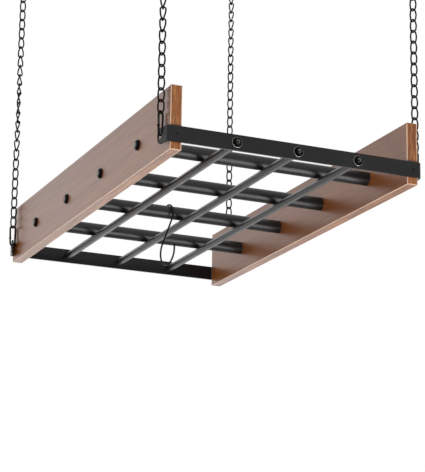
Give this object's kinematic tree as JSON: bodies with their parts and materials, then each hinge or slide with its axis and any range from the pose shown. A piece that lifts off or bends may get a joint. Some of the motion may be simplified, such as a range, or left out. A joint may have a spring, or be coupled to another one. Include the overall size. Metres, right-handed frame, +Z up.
{
  "type": "hanging pot rack",
  "caption": "Ceiling-hung pot rack: wooden side boards joined by round cross tubes and long bars between flat steel end brackets, hung on chains with snap hooks, with a loose S-hook.",
  "frame": {"origin": "on the ceiling, in the middle of the four ceiling screws", "axes": "+X to the right seen from the front bracket, +Y along the boards from the front bracket to the rear one, +Z up"},
  "size_m": [0.4491, 0.766, 0.7176],
  "materials": {
    "walnut": "satin",
    "black_steel": "satin powder coat",
    "dark_steel": "satin"
  },
  "bodies": {
    "ceiling": {"ceiling_hook_front_left": "black_steel", "ceiling_hook_rear_left": "black_steel", "ceiling_hook_front_right": "black_steel", "ceiling_hook_rear_right": "black_steel"},
    "top_link_front_left": {"chain_top_link_front_left": "black_steel"},
    "top_link_rear_left": {"chain_top_link_rear_left": "black_steel"},
    "top_link_front_right": {"chain_top_link_front_right": "black_steel"},
    "top_link_rear_right": {"chain_top_link_rear_right": "black_steel"},
    "chain_front_left": {"chain_front_left": "black_steel"},
    "chain_rear_left": {"chain_rear_left": "black_steel"},
    "chain_front_right": {"chain_front_right": "black_steel"},
    "chain_rear_right": {"chain_rear_right": "black_steel"},
    "snap_front_left": {"chain_end_links_front_left": "black_steel", "snap_hook_front_left": "black_steel", "snap_rivet_front_left": "dark_steel"},
    "snap_rear_left": {"chain_end_links_rear_left": "black_steel", "snap_hook_rear_left": "black_steel", "snap_rivet_rear_left": "dark_steel"},
    "snap_front_right": {"chain_end_links_front_right": "black_steel", "snap_hook_front_right": "black_steel", "snap_rivet_front_right": "dark_steel"},
    "snap_rear_right": {"chain_end_links_rear_right": "black_steel", "snap_hook_rear_right": "black_steel", "snap_rivet_rear_right": "dark_steel"},
    "gate_front_left": {"snap_gate_front_left": "dark_steel"},
    "gate_rear_left": {"snap_gate_rear_left": "dark_steel"},
    "gate_front_right": {"snap_gate_front_right": "dark_steel"},
    "gate_rear_right": {"snap_gate_rear_right": "dark_steel"},
    "rack": {"left_board": "walnut", "right_board": "walnut", "front_bracket": "black_steel", "rear_bracket": "black_steel", "cross_tube_1": "black_steel", "cross_tube_2": "black_steel", "cross_tube_3": "black_steel", "cross_tube_4": "black_steel", "long_bar_1": "black_steel", "long_bar_2": "black_steel", "long_bar_3": "black_steel", "tube_plugs": "dark_steel", "left_board_bolts": "black_steel", "right_board_bolts": "black_steel", "front_bar_screws": "black_steel", "rear_bar_screws": "black_steel", "bracket_wood_screws": "black_steel"},
    "s_hook": {"s_hook": "black_steel"}
  },
  "joints": [
    {"name": "swing_along_front_left", "type": "hinge", "parent": "ceiling", "child": "top_link_front_left", "pos_m": [-0.21542, -0.356, -0.02604], "axis": [1, 0, 0], "range_deg": [-10, 10]},
    {"name": "swing_across_front_left", "type": "hinge", "parent": "top_link_front_left", "child": "chain_front_left", "pos_m": [-0.21542, -0.356, -0.04444], "axis": [0, 1, 0], "range_deg": [-10, 10]},
    {"name": "chain_foot_front_left", "type": "hinge", "parent": "chain_front_left", "child": "snap_front_left", "pos_m": [-0.21542, -0.356, -0.52284], "axis": [0, 1, 0], "range_deg": [-10, 10]},
    {"name": "swing_along_rear_left", "type": "hinge", "parent": "ceiling", "child": "top_link_rear_left", "pos_m": [-0.21542, 0.356, -0.02604], "axis": [1, 0, 0], "range_deg": [-10, 10]},
    {"name": "swing_across_rear_left", "type": "hinge", "parent": "top_link_rear_left", "child": "chain_rear_left", "pos_m": [-0.21542, 0.356, -0.04444], "axis": [0, 1, 0], "range_deg": [-10, 10]},
    {"name": "chain_foot_rear_left", "type": "hinge", "parent": "chain_rear_left", "child": "snap_rear_left", "pos_m": [-0.21542, 0.356, -0.52284], "axis": [0, 1, 0], "range_deg": [-10, 10]},
    {"name": "swing_along_front_right", "type": "hinge", "parent": "ceiling", "child": "top_link_front_right", "pos_m": [0.21542, -0.356, -0.02604], "axis": [1, 0, 0], "range_deg": [-10, 10]},
    {"name": "swing_across_front_right", "type": "hinge", "parent": "top_link_front_right", "child": "chain_front_right", "pos_m": [0.21542, -0.356, -0.04444], "axis": [0, 1, 0], "range_deg": [-10, 10]},
    {"name": "chain_foot_front_right", "type": "hinge", "parent": "chain_front_right", "child": "snap_front_right", "pos_m": [0.21542, -0.356, -0.52284], "axis": [0, 1, 0], "range_deg": [-10, 10]},
    {"name": "swing_along_rear_right", "type": "hinge", "parent": "ceiling", "child": "top_link_rear_right", "pos_m": [0.21542, 0.356, -0.02604], "axis": [1, 0, 0], "range_deg": [-10, 10]},
    {"name": "swing_across_rear_right", "type": "hinge", "parent": "top_link_rear_right", "child": "chain_rear_right", "pos_m": [0.21542, 0.356, -0.04444], "axis": [0, 1, 0], "range_deg": [-10, 10]},
    {"name": "chain_foot_rear_right", "type": "hinge", "parent": "chain_rear_right", "child": "snap_rear_right", "pos_m": [0.21542, 0.356, -0.52284], "axis": [0, 1, 0], "range_deg": [-10, 10]},
    {"name": "rack_level", "type": "hinge", "parent": "snap_front_left", "child": "rack", "pos_m": [-0.21542, -0.356, -0.61054], "axis": [1, 0, 0], "range_deg": [-10, 10]},
    {"name": "gate_front_left", "type": "hinge", "parent": "snap_front_left", "child": "gate_front_left", "pos_m": [-0.21981, -0.35943, -0.59954], "axis": [-0.6157, 0.788, 0], "range_deg": [0, 24], "stiffness_Nm_per_rad": 0.01, "springref_deg": -17.19},
    {"name": "gate_rear_left", "type": "hinge", "parent": "snap_rear_left", "child": "gate_rear_left", "pos_m": [-0.22065, 0.3541, -0.59954], "axis": [-0.342, 0.9397, 0], "range_deg": [0, 24], "stiffness_Nm_per_rad": 0.01, "springref_deg": -17.19},
    {"name": "gate_front_right", "type": "hinge", "parent": "snap_front_right", "child": "gate_front_right", "pos_m": [0.22065, -0.3541, -0.59954], "axis": [0.342, -0.9397, 0], "range_deg": [0, 24], "stiffness_Nm_per_rad": 0.01, "springref_deg": -17.19},
    {"name": "gate_rear_right", "type": "hinge", "parent": "snap_rear_right", "child": "gate_rear_right", "pos_m": [0.21981, 0.35943, -0.59954], "axis": [0.6157, -0.788, 0], "range_deg": [0, 24], "stiffness_Nm_per_rad": 0.01, "springref_deg": -17.19},
    {"name": "s_hook_swing", "type": "hinge", "parent": "rack", "child": "s_hook", "pos_m": [-0.0225, 0.08165, -0.59514], "axis": [1, 0, 0], "range_deg": [-20, 20]}
  ],
  "couplings": [
    {"joint": "chain_foot_front_left", "follows": "swing_across_front_left", "ratio": -1},
    {"joint": "swing_along_rear_left", "follows": "swing_along_front_left", "ratio": 1},
    {"joint": "swing_across_rear_left", "follows": "swing_across_front_left", "ratio": 1},
    {"joint": "chain_foot_rear_left", "follows": "swing_across_front_left", "ratio": -1},
    {"joint": "swing_along_front_right", "follows": "swing_along_front_left", "ratio": 1},
    {"joint": "swing_across_front_right", "follows": "swing_across_front_left", "ratio": 1},
    {"joint": "chain_foot_front_right", "follows": "swing_across_front_left", "ratio": -1},
    {"joint": "swing_along_rear_right", "follows": "swing_along_front_left", "ratio": 1},
    {"joint": "swing_across_rear_right", "follows": "swing_across_front_left", "ratio": 1},
    {"joint": "chain_foot_rear_right", "follows": "swing_across_front_left", "ratio": -1},
    {"joint": "rack_level", "follows": "swing_along_front_left", "ratio": -1}
  ]
}
